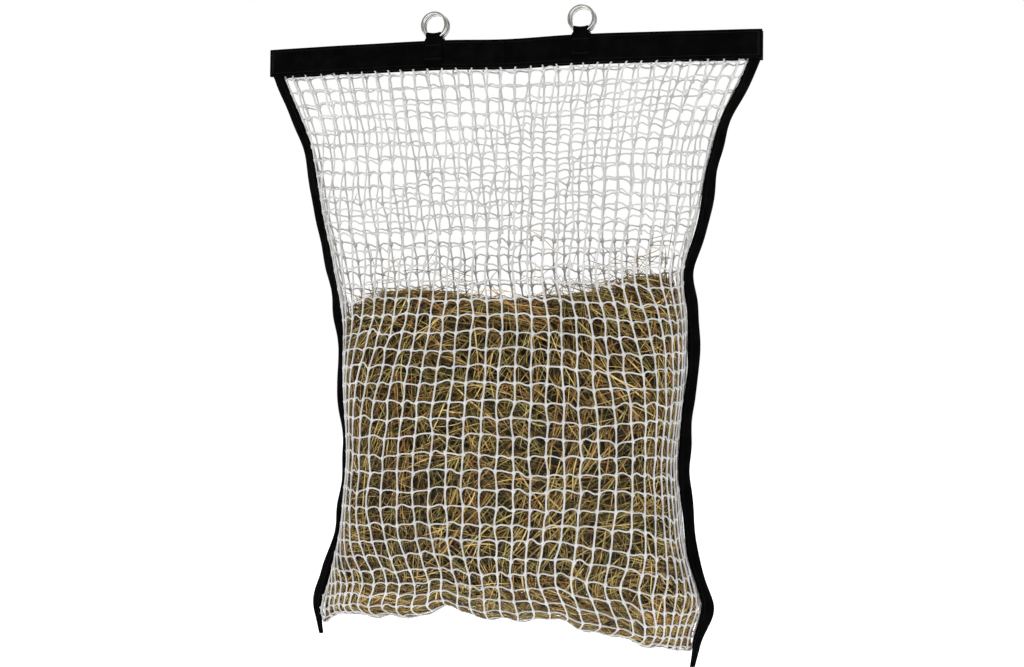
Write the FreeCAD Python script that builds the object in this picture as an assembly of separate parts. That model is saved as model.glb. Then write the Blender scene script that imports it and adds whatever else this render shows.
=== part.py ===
import FreeCAD, Part
import math
import os

# Slow-feeder hay net, hung by rings on a webbing header, with its load of hay. Millimetres.
# +Z up, -Y front, +X to the right of someone facing the front. The origin is the hanging point:
# midway between the rings, level with the inside of their tops, and between the two headers.

V = FreeCAD.Vector

# Rings
RING_OUTER_DIAMETER = 50.0
RING_WIRE_DIAMETER = 6.0
RING_SPACING = 270.0  # between the left and the right ring's centres
RING_RUNNING_CLEARANCE = 0.4  # between a ring and its webbing loop

# Header webbing, one band in front and one behind, with the mouth between them
HEADER_LENGTH = 900.0
HEADER_HEIGHT = 50.0
HEADER_THICKNESS = 7.0  # webbing folded over the net's top edge
HEADER_FOLD_ROUNDING = 0.35  # radius of the fold's corners, as a share of the thickness
RING_GAP_ABOVE_HEADER = 3.0  # under an upright ring's wire

# Ring tabs
TAB_WEBBING_THICKNESS = 2.0
TAB_WIDTH = 28.0  # where it is sewn down
TAB_TO_TAB_CLEARANCE = 0.6  # between the front and the back tabs when the mouth is shut
TAB_LEG_LENGTH = 40.0
LOOP_WRAP_PAST_LEVEL = 30.0  # degrees that the loop follows the ring past the hinge line's level, on each side

# Side bindings: tape folded over the edges of both net panels
BAG_DROP = 1076.0  # from the header's top edge to the tips of the side tapes
BINDING_WIDTH = 20.0
BINDING_THICKNESS = 10.0
BINDING_TUCK = 40.0  # length of tape between the headers
TIP_WIDTH_SHARE = 0.4  # of the tape's width, left at its tip
TIP_TAPER_START = 0.92  # where the tape begins to narrow, as a share of the way down

# Net panels
NET_THICKNESS = 3.5
PANEL_CLEARANCE = 0.5  # between the net panels, and from the front header to the side tapes
NET_EDGE_CLEARANCE = 0.8  # from a net panel's edge to its side tape
FRONT_BULGE = 175.0
BACK_BULGE = 130.0
BULGE_DEPTH_SHARE = 0.73  # how far down the bulge is deepest
FOLD_DEPTH_SHARE = 0.961  # how far down the bottom fold is, at the middle
CORNER_DROP_SHARE = 0.019  # how much further down it is at the corners
FOLD_ROUNDNESS = 2.3  # superellipse exponent of the bottom, seen from the side
TOP_FLATNESS = 6.0  # superellipse exponents of the bag's plan, from the header down
BELLY_FLATNESS = 2.5
EAR_FLATNESS = 1.5
BELLY_FLATNESS_SHARE = 0.4  # how far down the belly's flatness is reached
EAR_START_SHARE = 0.78  # how far down the ears begin
EAR_LENGTH_SHARE = 0.17

# The line about which the front panel bends when the mouth is opened
MOUTH_HINGE_DEPTH = 350.0  # below the header's top edge
MOUTH_HINGE_GAP = 0.5

# Hay
HAY_TOP_DEPTH = 450.0  # below the header's top edge
HAY_CLEARANCE = 4.0
HAY_ABOVE_FOLD = 12.0  # from the net's bottom fold to the hay's flat underside
HAY_CROWN = [(0.0, 0.62), (20.0, 0.86), (60.0, 0.97), (120.0, 1.0)]  # (mm below the top, share of full size)
HAY_ROWS = 14  # sections below the crown

# Sewing thread
THREAD_PROUD = 0.5
THREAD_WIDTH = 1.2
SEAM_INSET = 6.0
SEAM_END_INSET = 18.0
SEAM_GAP_BESIDE_TAB = 1.0
SIDE_SEAM_START_SHARE = 0.02  # how far down the side tape its seam begins
TACK_INSET = 5.0
TACK_END_INSET = 2.0

# Outer edge of a side tape: (share of the way from the header down to the tip, share of half the header)
SIDE_OUTLINE = [
    (0.0, 0.998),
    (0.058, 0.939),
    (0.117, 0.880),
    (0.175, 0.842),
    (0.253, 0.809),
    (0.341, 0.761),
    (0.439, 0.740),
    (0.575, 0.727),
    (0.692, 0.707),
    (0.75, 0.718),
    (0.80, 0.730),
    (0.848, 0.762),
    (0.882, 0.788),
    (0.926, 0.805),
    (0.965, 0.788),
    (1.0, 0.763),
]

# Worked out from the sizes above
WIRE_R = RING_WIRE_DIAMETER / 2
RING_R = RING_OUTER_DIAMETER / 2 - WIRE_R
RING_EYE_R = RING_R - WIRE_R
RING_AXIS_Z = -RING_EYE_R - RING_R
HEADER_TOP = RING_AXIS_Z - WIRE_R - RING_GAP_ABOVE_HEADER
HEADER_BOTTOM = HEADER_TOP - HEADER_HEIGHT
HALF_HEADER = HEADER_LENGTH / 2
FRONT_HEADER_Y = -BINDING_THICKNESS / 2 - PANEL_CLEARANCE - HEADER_THICKNESS / 2
BACK_HEADER_Y = BINDING_THICKNESS / 2 + HEADER_THICKNESS / 2
BAG_LENGTH = BAG_DROP - HEADER_HEIGHT
MOUTH_HINGE_Z = HEADER_TOP - MOUTH_HINGE_DEPTH
SEAM_BETWEEN_PANELS = PANEL_CLEARANCE / 2
LOOP_OUTER_R = (BACK_HEADER_Y - FRONT_HEADER_Y - TAB_TO_TAB_CLEARANCE) / 2  # at the loop's side edges
LOOP_INNER_R = LOOP_OUTER_R - TAB_WEBBING_THICKNESS
LOOP_HALF_WIDTH = math.sqrt(RING_EYE_R**2 - (RING_R + RING_RUNNING_CLEARANCE - LOOP_INNER_R) ** 2)
LOOP_POINTS = 9
PLAN_COLUMNS = 25
ROWS_TO_BELLY = 24
FOLD_ROWS = 16
ABOVE_HEADER_SHARE = 0.02  # the net's skins start this far above the header's bottom and are cut there


def mix(a, b, t):
    """The value a share t of the way from a to b, easing in and out, and held outside 0 to 1."""
    t = min(max(t, 0.0), 1.0)
    return a + (b - a) * t * t * (3 - 2 * t)


def outline_curve(points):
    """A smooth curve of (share, x) points, whose parameter is the share itself."""
    curve = Part.BSplineCurve()
    curve.interpolate(
        Points=[V(x, 0, bag_z(s)) for s, x in points], Parameters=[s for s, _ in points]
    )
    return curve


def bag_z(share):
    """Height of the place that is this share of the way from the header's bottom to the tape's tip."""
    return HEADER_BOTTOM - share * BAG_LENGTH


def tape_width(share):
    return BINDING_WIDTH * mix(1.0, TIP_WIDTH_SHARE, (share - TIP_TAPER_START) / (1 - TIP_TAPER_START))


TAPE_OUTER = outline_curve([(s, x * HALF_HEADER) for s, x in SIDE_OUTLINE])


def tape_outer_x(share):
    return TAPE_OUTER.value(min(max(share, 0.0), 1.0)).x


def net_half_width(share):
    """Half the bag's width between the side tapes."""
    return tape_outer_x(share) - tape_width(share) - NET_EDGE_CLEARANCE


def bulge(share, deepest, at_header, fold_share):
    """How far the net stands out from the side seams' plane, down the middle."""
    if share <= BULGE_DEPTH_SHARE:
        return mix(at_header, deepest, share / BULGE_DEPTH_SHARE)
    t = min((share - BULGE_DEPTH_SHARE) / (fold_share - BULGE_DEPTH_SHARE), 1.0)
    return deepest * (1 - t**FOLD_ROUNDNESS) ** (1 / FOLD_ROUNDNESS)


def flatness(share):
    """Superellipse exponent of the bag's plan at this share of the way down."""
    top = mix(TOP_FLATNESS, BELLY_FLATNESS, share / BELLY_FLATNESS_SHARE)
    return mix(top, EAR_FLATNESS, (share - EAR_START_SHARE) / EAR_LENGTH_SHARE)


def plan_angles():
    step = math.pi / (PLAN_COLUMNS - 1)
    return [-math.pi / 2 + i * step for i in range(PLAN_COLUMNS)]


def power(value, exponent):
    return math.copysign(abs(value) ** exponent, value) if abs(value) > 1e-9 else 0.0


def fold_share_at(angle, inset):
    """Share of the way down of the bottom fold, which is lower towards the corners."""
    across = abs(math.sin(angle))
    return FOLD_DEPTH_SHARE + CORNER_DROP_SHARE * across**3 - inset / BAG_LENGTH


def net_point(side, share, angle, deepest, at_header, inset):
    """A point on a net panel's outside (inset 0) or inside (inset its thickness)."""
    exponent = 2 / flatness(share)
    depth = bulge(share, deepest - inset, at_header - inset, fold_share_at(angle, inset))
    x = (net_half_width(share) - inset) * power(math.sin(angle), exponent)
    y = side * (SEAM_BETWEEN_PANELS + depth * power(math.cos(angle), exponent))
    return V(x, y, bag_z(share))


def net_rows(angle, inset):
    """How far down each row of points is, from above the header's bottom to the bottom fold."""
    start = -ABOVE_HEADER_SHARE
    down = [start + (BULGE_DEPTH_SHARE - start) * i / ROWS_TO_BELLY for i in range(ROWS_TO_BELLY)]
    fold = fold_share_at(angle, inset)
    for i in range(FOLD_ROWS + 1):
        turn = math.pi / 2 * i / FOLD_ROWS
        down.append(BULGE_DEPTH_SHARE + (fold - BULGE_DEPTH_SHARE) * math.sin(turn))
    return down


def net_skin(side, deepest, at_header, inset):
    grid = [
        [net_point(side, share, angle, deepest, at_header, inset) for share in net_rows(angle, inset)]
        for angle in plan_angles()
    ]
    skin = Part.BSplineSurface()
    skin.interpolate(grid)
    return skin


def borders(skin):
    """A skin's left, right, top and bottom edges."""
    u0, u1, v0, v1 = skin.bounds()
    return [curve.toShape() for curve in (skin.uIso(u0), skin.uIso(u1), skin.vIso(v0), skin.vIso(v1))]


def closed_solid(faces):
    shell = Part.makeShell(faces)
    shell.sewShape()
    solid = Part.makeSolid(shell)
    if solid.Volume < 0:
        solid.reverse()
    return solid


def net_panel(side, deepest, header_y):
    """A sheet of netting from the header's bottom edge to the bottom fold."""
    at_header = abs(header_y) + NET_THICKNESS / 2 - SEAM_BETWEEN_PANELS
    outside = net_skin(side, deepest, at_header, 0.0)
    inside = net_skin(side, deepest, at_header, NET_THICKNESS)
    faces = [outside.toShape(), inside.toShape()]
    for outer_edge, inner_edge in zip(borders(outside), borders(inside)):
        faces.append(Part.makeRuledSurface(outer_edge, inner_edge))
    return level_slice(closed_solid(faces), bag_z(1.0), HEADER_BOTTOM)


def level_slice(shape, low, high):
    """What lies between two heights."""
    size = HEADER_LENGTH * 2
    return shape.common(Part.makeBox(size, size, high - low, V(-size / 2, -size / 2, low)))


def front_net():
    """The front panel in two pieces, above and below the line that it bends about."""
    panel = net_panel(-1, FRONT_BULGE, FRONT_HEADER_Y)
    upper = level_slice(panel, MOUTH_HINGE_Z, HEADER_BOTTOM)
    lower = level_slice(panel, bag_z(1.0), MOUTH_HINGE_Z - MOUTH_HINGE_GAP)
    return upper, lower


def back_net():
    return net_panel(1, BACK_BULGE, BACK_HEADER_Y)


def header_band(y):
    band = Part.makeBox(
        HEADER_LENGTH,
        HEADER_THICKNESS,
        HEADER_HEIGHT,
        V(-HALF_HEADER, y - HEADER_THICKNESS / 2, HEADER_BOTTOM),
    )
    at_top = [e for e in band.Edges if abs(e.BoundBox.ZMin - HEADER_TOP) < 1e-6]
    fold = [e for e in at_top if e.Length > HEADER_THICKNESS * 2]
    return band.makeFillet(HEADER_THICKNESS * HEADER_FOLD_ROUNDING, fold)


def binding_band(from_share, inset, width, y_low, y_high):
    """A strip that follows the side tape's outer edge, from this far inside it, on the right side."""
    shares = [from_share] + [s for s, _ in SIDE_OUTLINE if s > from_share]
    outer = outline_curve([(s, tape_outer_x(s) - inset * tape_width(s) / BINDING_WIDTH) for s in shares])
    inner = outline_curve(
        [(s, tape_outer_x(s) - (inset + width) * tape_width(s) / BINDING_WIDTH) for s in shares]
    )
    across = Part.makeLine(outer.value(1.0), inner.value(1.0))
    corners = [inner.value(from_share), outer.value(from_share)]
    top = Part.makeLine(corners[0], corners[1])
    wire = Part.Wire(Part.__sortEdges__([outer.toShape(), across, inner.toShape(), top]))
    strip = Part.Face(wire).extrude(V(0, y_high - y_low, 0))
    strip.translate(V(0, y_low, 0))
    return strip


def side_binding():
    """The right side's tape, with its top end tucked between the headers."""
    half = BINDING_THICKNESS / 2
    tape = binding_band(0.0, 0.0, BINDING_WIDTH, -half, half)
    outer_x = tape_outer_x(0.0)
    tuck = Part.makeBox(
        BINDING_WIDTH, BINDING_THICKNESS, BINDING_TUCK, V(outer_x - BINDING_WIDTH, -half, HEADER_BOTTOM)
    )
    return tape.fuse(tuck).removeSplitter()


def side_stitching():
    """The right side's seam thread: one row on the tape's front and one on its back."""
    half = BINDING_THICKNESS / 2
    inset = BINDING_WIDTH - TACK_INSET
    front = binding_band(SIDE_SEAM_START_SHARE, inset, THREAD_WIDTH, -half - THREAD_PROUD, -half)
    back = binding_band(SIDE_SEAM_START_SHARE, inset, THREAD_WIDTH, half, half + THREAD_PROUD)
    return Part.makeCompound([front, back])


def mirrored(shape):
    return shape.mirror(V(0, 0, 0), V(1, 0, 0))


def loop_inner_radius(x):
    """Radius that the ring sweeps about its hinge line at this distance along it, and the clearance."""
    return RING_R - math.sqrt(RING_EYE_R**2 - x**2) + RING_RUNNING_CLEARANCE


def loop_curve(extra, y_sign):
    """The loop's waisted edge in plan, at the height of the hinge line, from left to right."""
    points = []
    for i in range(LOOP_POINTS):
        x = LOOP_HALF_WIDTH * (2 * i / (LOOP_POINTS - 1) - 1)
        points.append(V(x, y_sign * (loop_inner_radius(x) + extra), 0))
    curve = Part.BSplineCurve()
    curve.interpolate(points)
    return curve.toShape()


def quad_wire(inner, outer):
    """A closed wire from two edges that run the same way, in the order inner, end, outer, end."""
    inner_ends = (inner.valueAt(inner.FirstParameter), inner.valueAt(inner.LastParameter))
    outer_ends = (outer.valueAt(outer.FirstParameter), outer.valueAt(outer.LastParameter))
    right = Part.makeLine(inner_ends[1], outer_ends[1])
    left = Part.makeLine(outer_ends[0], inner_ends[0])
    return Part.Wire(Part.__sortEdges__([inner, right, outer, left]))


def loop_end(y_sign):
    """The loop's waisted end, past the level of the hinge line, as a wire."""
    end = quad_wire(loop_curve(0.0, y_sign), loop_curve(TAB_WEBBING_THICKNESS, y_sign))
    end.rotate(V(0, 0, 0), V(1, 0, 0), -y_sign * LOOP_WRAP_PAST_LEVEL)
    return end


def tab_neck(y_sign):
    """From the loop's waisted end down to the flat leg on the header's face."""
    low = HEADER_TOP - RING_AXIS_Z
    half = TAB_WIDTH / 2
    near = y_sign * HEADER_THICKNESS / 2
    far = y_sign * (HEADER_THICKNESS / 2 + TAB_WEBBING_THICKNESS)
    lower = quad_wire(
        Part.makeLine(V(-half, near, low), V(half, near, low)),
        Part.makeLine(V(-half, far, low), V(half, far, low)),
    )
    return Part.makeLoft([loop_end(y_sign), lower], True, True)


def ring_tab(x, header_y):
    """A webbing loop round the ring's wire, sewn down on both faces of the header."""
    loop = Part.Face(loop_end(-1)).revolve(V(0, 0, 0), V(1, 0, 0), -180 - 2 * LOOP_WRAP_PAST_LEVEL)
    pieces = [loop]
    low = HEADER_TOP - RING_AXIS_Z
    for y_sign in (-1, 1):
        pieces.append(tab_neck(y_sign))
        edge = HEADER_THICKNESS / 2 if y_sign > 0 else -HEADER_THICKNESS / 2 - TAB_WEBBING_THICKNESS
        corner = V(-TAB_WIDTH / 2, edge, low - TAB_LEG_LENGTH)
        pieces.append(Part.makeBox(TAB_WIDTH, TAB_WEBBING_THICKNESS, TAB_LEG_LENGTH, corner))
    tab = pieces[0].fuse(pieces[1:])
    tab.translate(V(x, header_y, RING_AXIS_Z))
    return tab


def ring(x, header_y):
    return Part.makeTorus(RING_R, WIRE_R, V(x, header_y, -RING_EYE_R), V(0, 1, 0))


def on_face(header_y, low_x, high_x, low_z, high_z, proud_of):
    """A bar of thread lying on a header's outer face, or on a tab leg's."""
    sign = math.copysign(1, header_y)
    surface = abs(header_y) + HEADER_THICKNESS / 2 + proud_of
    y = surface if sign > 0 else -surface - THREAD_PROUD
    return Part.makeBox(high_x - low_x, THREAD_PROUD, high_z - low_z, V(low_x, y, low_z))


def header_stitching(header_y):
    """Two rows of seam thread along the header, each broken where a tab covers it."""
    bars = []
    end = HALF_HEADER - SEAM_END_INSET
    beside_tab = TAB_WIDTH / 2 + SEAM_GAP_BESIDE_TAB
    spot = RING_SPACING / 2
    spans = [(-end, -spot - beside_tab), (-spot + beside_tab, spot - beside_tab), (spot + beside_tab, end)]
    for z in (HEADER_TOP - SEAM_INSET, HEADER_BOTTOM + SEAM_INSET):
        for low, high in spans:
            bars.append(on_face(header_y, low, high, z - THREAD_WIDTH / 2, z + THREAD_WIDTH / 2, 0.0))
    return Part.makeCompound(bars)


def tab_bartacks(header_y):
    """Two bars of dense thread across the outer leg of each tab."""
    bars = []
    half = TAB_WIDTH / 2 - TACK_END_INSET
    for x in (-RING_SPACING / 2, RING_SPACING / 2):
        for z in (HEADER_TOP - TACK_INSET * 2, HEADER_TOP - TAB_LEG_LENGTH + TACK_INSET):
            bars.append(
                on_face(header_y, x - half, x + half, z - THREAD_WIDTH, z + THREAD_WIDTH, TAB_WEBBING_THICKNESS)
            )
    return Part.makeCompound(bars)


def corner_bartacks(header_y):
    """Two upright bars of dense thread at each end of the header."""
    bars = []
    low = HEADER_BOTTOM + SEAM_INSET
    high = HEADER_TOP - SEAM_INSET
    for sign in (-1, 1):
        for inset in (TACK_INSET, TACK_INSET * 2):
            x = sign * (HALF_HEADER - inset)
            bars.append(on_face(header_y, x - THREAD_WIDTH, x + THREAD_WIDTH, low, high, 0.0))
    return Part.makeCompound(bars)


def hay_section(share, size):
    """A closed level outline of the hay, just inside the net."""
    inset = NET_THICKNESS + HAY_CLEARANCE
    exponent = 2 / flatness(share)
    half_width = (net_half_width(share) - inset) * size
    front = bulge(share, FRONT_BULGE - inset, 0.0, FOLD_DEPTH_SHARE - inset / BAG_LENGTH) * size
    back = bulge(share, BACK_BULGE - inset, 0.0, FOLD_DEPTH_SHARE - inset / BAG_LENGTH) * size
    edges = []
    for side, depth in ((-1, front), (1, back)):
        points = []
        for angle in plan_angles()[::2]:
            x = half_width * power(math.sin(angle), exponent)
            y = side * depth * power(math.cos(angle), exponent)
            points.append(V(x, y, bag_z(share)))
        curve = Part.BSplineCurve()
        curve.interpolate(points)
        edges.append(curve.toShape())
    return Part.Wire(Part.__sortEdges__(edges))


def hay_fill():
    """The load: its crown, then sections that follow the net down to just above the bottom fold."""
    top = (HAY_TOP_DEPTH - HEADER_HEIGHT) / BAG_LENGTH
    low = FOLD_DEPTH_SHARE - HAY_ABOVE_FOLD / BAG_LENGTH
    crown = [(top + depth / BAG_LENGTH, size) for depth, size in HAY_CROWN]
    start = crown[-1][0]
    for i in range(1, HAY_ROWS + 1):
        crown.append((start + (low - start) * math.sin(math.pi / 2 * i / HAY_ROWS), 1.0))
    return Part.makeLoft([hay_section(share, size) for share, size in crown], True, False)


def build():
    upper, lower = front_net()
    nodes = {
        "back_net": back_net(),
        "front_net_lower": lower,
        "front_net_upper": upper,
        "side_binding_right": side_binding(),
        "side_binding_left": mirrored(side_binding()),
        "side_stitching_right": side_stitching(),
        "side_stitching_left": mirrored(side_stitching()),
        "hay_fill": hay_fill(),
    }
    for place, header_y in (("front", FRONT_HEADER_Y), ("back", BACK_HEADER_Y)):
        nodes["header_band_" + place] = header_band(header_y)
        nodes["header_stitching_" + place] = header_stitching(header_y)
        nodes["tab_bartacks_" + place] = tab_bartacks(header_y)
        nodes["corner_bartacks_" + place] = corner_bartacks(header_y)
        for hand, x in (("left", -RING_SPACING / 2), ("right", RING_SPACING / 2)):
            nodes["ring_tab_" + place + "_" + hand] = ring_tab(x, header_y)
            nodes["ring_" + place + "_" + hand] = ring(x, header_y)
    return nodes


os.makedirs("parts", exist_ok=True)
for name, shape in build().items():
    shape.exportStep("parts/" + name + ".step")
    print(name, len(shape.Solids), round(shape.Volume), shape.isValid(), shape.BoundBox)
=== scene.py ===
import math

import bpy
import numpy as np
from mathutils import Matrix, Vector
from mathutils.bvhtree import BVHTree


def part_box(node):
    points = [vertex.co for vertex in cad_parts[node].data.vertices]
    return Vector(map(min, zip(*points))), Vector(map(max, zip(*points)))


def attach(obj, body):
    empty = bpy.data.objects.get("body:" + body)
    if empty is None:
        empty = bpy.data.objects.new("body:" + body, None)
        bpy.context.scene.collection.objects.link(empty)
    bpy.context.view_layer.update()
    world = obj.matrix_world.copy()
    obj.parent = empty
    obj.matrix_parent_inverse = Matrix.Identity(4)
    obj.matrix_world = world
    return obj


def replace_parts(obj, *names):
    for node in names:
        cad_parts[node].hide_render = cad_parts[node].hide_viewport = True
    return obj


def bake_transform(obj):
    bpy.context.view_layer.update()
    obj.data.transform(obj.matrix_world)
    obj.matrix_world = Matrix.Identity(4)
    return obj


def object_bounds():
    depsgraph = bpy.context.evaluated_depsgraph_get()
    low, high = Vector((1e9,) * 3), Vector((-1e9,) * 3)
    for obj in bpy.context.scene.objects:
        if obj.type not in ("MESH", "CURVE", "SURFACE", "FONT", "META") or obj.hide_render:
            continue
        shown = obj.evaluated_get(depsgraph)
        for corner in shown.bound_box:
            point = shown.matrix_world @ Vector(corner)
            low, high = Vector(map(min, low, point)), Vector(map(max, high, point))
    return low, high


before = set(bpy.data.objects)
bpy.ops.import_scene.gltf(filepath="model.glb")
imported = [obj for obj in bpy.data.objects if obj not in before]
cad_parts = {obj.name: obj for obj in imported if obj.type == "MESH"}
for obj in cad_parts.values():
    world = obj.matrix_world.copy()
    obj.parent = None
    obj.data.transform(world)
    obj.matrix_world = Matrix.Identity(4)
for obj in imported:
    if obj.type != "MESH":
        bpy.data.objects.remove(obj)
CAD_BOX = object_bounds()

# Everything is in metres, in the frame's own axes: +Z up, -Y the front, +X right.
MM = 0.001
RANDOM = np.random.default_rng(20261119)
FRONT, BACK = -1, 1

# Netting
COLUMNS = 33  # mesh openings across
ROWS = 38  # mesh openings from the header to the bottom fold
UPRIGHT_R = 1.55 * MM  # half the width of a twine that runs down
LEVEL_R = 1.4 * MM  # half the width of one that runs across
UPRIGHT_STEPS = np.array([0.0, 0.065, 0.14, 0.35, 0.65, 0.86, 0.935])  # its points, in rows below a knot
KNOT_SWELL = 2.5  # how much wider an upright is where the level twines join it
KNOT_SHAPE = ([0.0, 0.065, 0.14, 0.2], [1.0, 0.75, 0.1, 0.0])  # rows from a knot, share of the swell there
ROWS_TIGHTER_AT_TOP = 0.86  # length of a row there against one round the hay
FIRST_ROW_SHARE = 0.4  # of a row, showing below the header
FACE_HALF_WIDTH = 0.22  # the part of a panel that faces forward
EAR_WIDTH = 0.1  # from there out to where the gather is full
EAR_GATHER = 1.7  # how much more the columns crowd in the bottom corners, beside the face
SIDE_STEEPNESS = 1.9  # how tightly the columns are gathered at the panel's sides
ROW_LENGTH = 29 * MM  # one mesh opening, down the cloth
TWINE_BRAID = 4 * MM  # length of one repeat of the twine's braid

# How the filled bag hangs, next to the frame's even one
LEAN = 14 * MM  # to the right, over the lower half
LEAN_FROM_Z, LEAN_GROWS_OVER = -0.45, 0.13
LEAN_FADES_FROM_Z, LEAN_FADES_OVER = -1.01, 0.075
CORNER_DROOP = 20 * MM  # of the right bottom corner
DROOP_FROM_X, DROOP_WIDTH = 0.06, 0.27
DROOP_FROM_Z, DROOP_HEIGHT = -0.80, 0.29
NOTCHES = [(-0.085, 0.024, 0.055), (0.09, 0.012, 0.06), (-0.27, 0.011, 0.05)]  # x, height, spread

# Webbing and tape
TAB_TOP_WIDTH = 25 * MM
TAB_FOOT_WIDTH = 33 * MM
TAB_FLATTENING = 0.6  # how far the loop's top spans straight across the ring instead of following it
TAB_LEG = 38 * MM
WEBBING = 2 * MM


# ---------------------------------------------------------------- camera, lights and stage


def place_camera():
    """At the reference view: a little to the net's right, level with its middle."""
    azimuth, elevation, roll = math.radians(14.2), math.radians(-0.9), math.radians(0.58)
    level = math.cos(elevation)
    back = Vector((math.sin(azimuth) * level, -math.cos(azimuth) * level, math.sin(elevation)))
    data = bpy.data.cameras.new("camera")
    data.sensor_width = 36.0
    data.lens = 52.7
    data.clip_end = 60.0
    camera = bpy.data.objects.new("camera", data)
    bpy.context.scene.collection.objects.link(camera)
    turn = back.to_track_quat("Z", "Y").to_matrix().to_4x4()
    camera.matrix_world = Matrix.Translation((0.666, -2.58, -0.615)) @ turn @ Matrix.Rotation(roll, 4, "Z")
    bpy.context.scene.camera = camera


def area_light(name, place, size, power):
    """A soft light aimed at the net's middle, which shiny pieces don't mirror."""
    data = bpy.data.lights.new(name, "AREA")
    data.shape = "RECTANGLE"
    data.size, data.size_y = size
    data.energy = power
    light = bpy.data.objects.new(name, data)
    turn = (Vector(place) - Vector((0, 0, -0.6))).to_track_quat("Z", "Y")
    light.matrix_world = Matrix.Translation(place) @ turn.to_matrix().to_4x4()
    light.visible_glossy = False
    bpy.context.scene.collection.objects.link(light)


def light_the_studio():
    area_light("key_light", (-2.2, -2.6, 1.5), (1.4, 1.8), 82)
    area_light("fill_light", (2.7, -2.0, 0.4), (1.0, 2.4), 42)
    area_light("back_light", (0.5, 3.0, 1.2), (2.4, 2.0), 60)
    world = bpy.data.worlds.new("studio")
    world.use_nodes = True
    sky = Nodes(world.node_tree)
    split = sky.node("SeparateXYZ", {0: sky.node("TexCoord").outputs["Generated"]})
    ramps = []
    for axis, stops in (
        ("Y", [(0.0, 0.30), (0.25, 0.04), (0.45, 0.10), (0.55, 0.70), (1.0, 0.95)]),
        ("Z", [(0.0, 0.50), (0.40, 0.03), (0.55, 0.45), (0.70, 0.08), (1.0, 1.0)]),
    ):
        share = sky.node("Math", {0: split.outputs[axis], 1: 0.5, 2: 0.5}, operation="MULTIPLY_ADD")
        ramps.append(sky.ramp(share.outputs[0], [(position, (level,) * 3) for position, level in stops]))
    blend = sky.mix("ADD", 0.75, *ramps)
    camera_ray = sky.node("LightPath").outputs["Is Camera Ray"]
    seen = sky.mix("MIX", camera_ray, blend, (1, 1, 1, 1))  # the backdrop itself stays plain
    sky.tree.links.new(seen, sky.tree.nodes["Background"].inputs["Color"])
    bpy.context.scene.world = world
    bpy.context.scene.view_settings.view_transform = "Standard"


def lay_the_floor():
    drop = CAD_BOX[0][2] - 0.45
    size = 14.0
    mesh = bpy.data.meshes.new("floor")
    corners = [(-size, -size, drop), (size, -size, drop), (size, size, drop), (-size, size, drop)]
    mesh.from_pydata(corners, [], [(0, 1, 2, 3)])
    floor = bpy.data.objects.new("floor", mesh)
    bpy.context.scene.collection.objects.link(floor)
    paint = Shader("floor_paint")
    paint.set(Base_Color=(0.9, 0.9, 0.9, 1), Roughness=0.9)
    paint.set(Emission_Color=(1, 1, 1, 1), Emission_Strength=0.55)
    mesh.materials.append(paint.material)


# ---------------------------------------------------------------- materials


class Nodes:
    """Short calls that add and join nodes of a tree."""

    def __init__(self, tree):
        self.tree = tree

    def node(self, kind, inputs=None, **settings):
        made = self.tree.nodes.new("ShaderNode" + kind)
        for key, value in settings.items():
            setattr(made, key, value)
        for key, value in (inputs or {}).items():
            if isinstance(value, bpy.types.NodeSocket):
                self.tree.links.new(value, made.inputs[key])
            else:
                made.inputs[key].default_value = value
        return made

    def place(self, scale=(1, 1, 1)):
        coords = self.node("TexCoord")
        return self.node("Mapping", {"Vector": coords.outputs["Object"], "Scale": scale}).outputs["Vector"]

    def noise(self, scale, detail=3.0, where=None, roughness=0.55):
        where = where or self.place()
        inputs = {"Vector": where, "Scale": scale, "Detail": detail, "Roughness": roughness}
        return self.node("TexNoise", inputs).outputs["Fac"]

    def wave(self, where, scale, distortion, detail, direction):
        inputs = {"Vector": where, "Scale": scale, "Distortion": distortion, "Detail": detail}
        return self.node("TexWave", inputs, wave_type="BANDS", bands_direction=direction).outputs["Fac"]

    def ramp(self, value, stops):
        made = self.node("ValToRGB", {"Fac": value})
        elements = made.color_ramp.elements
        while len(elements) < len(stops):
            elements.new(0.5)
        for element, (position, color) in zip(elements, stops):
            element.position = position
            element.color = (*color, 1.0)
        return made.outputs["Color"]

    def math(self, operation, a, b=0.0):
        return self.node("Math", {0: a, 1: b}, operation=operation).outputs[0]

    def mix(self, how, factor, a, b):
        inputs = {"Factor": factor, 6: a, 7: b}
        return self.node("Mix", inputs, data_type="RGBA", blend_type=how).outputs[2]


class Shader(Nodes):
    """A node material in the making."""

    def __init__(self, name):
        self.material = bpy.data.materials.new(name)
        self.material.use_nodes = True
        super().__init__(self.material.node_tree)
        self.bsdf = self.tree.nodes["Principled BSDF"]

    def join(self, output, name):
        self.tree.links.new(output, self.bsdf.inputs[name])

    def set(self, **values):
        for key, value in values.items():
            self.bsdf.inputs[key.replace("_", " ")].default_value = value

    def bump(self, height, strength, distance):
        inputs = {"Height": height, "Strength": strength, "Distance": distance}
        self.join(self.node("Bump", inputs).outputs["Normal"], "Normal")


def twine_material():
    """Off-white braided polyester: a fine slanted braid, greyed in places by dust."""
    shader = Shader("net_twine")
    along = shader.node("UVMap", uv_map="along_and_round").outputs["UV"]
    braid = shader.wave(along, 1.0, 1.2, 2.0, "DIAGONAL")
    dust = shader.ramp(shader.noise(16.0, 4.0), [(0.3, (0.49, 0.485, 0.475)), (0.62, (0.64, 0.635, 0.625))])
    fibre = shader.ramp(braid, [(0.0, (0.80, 0.80, 0.79)), (0.75, (1.0, 1.0, 1.0))])
    shader.join(shader.mix("MULTIPLY", 1.0, dust, fibre), "Base Color")
    fuzz = shader.math("MULTIPLY", shader.noise(900.0, 2.0), 0.5)
    shader.bump(shader.math("ADD", braid, fuzz), 0.7, 0.0008)
    shader.set(Roughness=0.82, Sheen_Weight=0.15, Sheen_Roughness=0.5)
    return shader.material


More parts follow.
